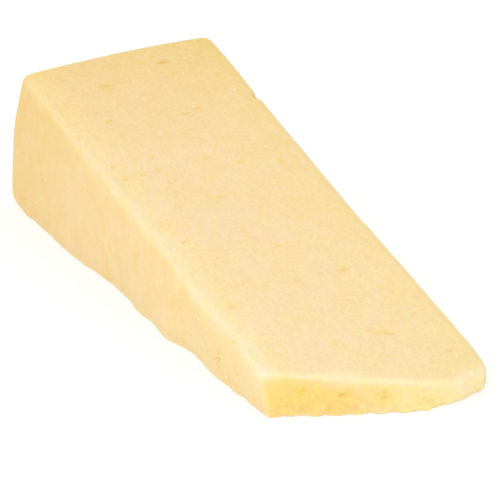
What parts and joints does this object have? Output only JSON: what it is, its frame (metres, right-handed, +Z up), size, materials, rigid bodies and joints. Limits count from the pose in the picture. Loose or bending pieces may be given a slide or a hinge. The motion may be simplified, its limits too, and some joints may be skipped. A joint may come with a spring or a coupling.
{
  "type": "lancashire cheese chunk",
  "caption": "Pale crumbly cheese wedge lying on one cut face: a thick rind end, a long sloping top and a thin slanted cut tip.",
  "frame": {"origin": "on the ground, under the middle of the chunk's bounding box", "axes": "+Z up, +Y from the thin cut tip to the thick rind end, +X to the right when the thin tip faces the viewer"},
  "size_m": [0.0556, 0.153, 0.0396],
  "materials": {
    "cheese_paste": "pale creamy yellow crumbly cheese with a soft waxy sheen, slightly translucent, with a paler dry line along the cut edges"
  },
  "bodies": {
    "root": {"cheese_chunk": "cheese_paste"}
  },
  "joints": []
}
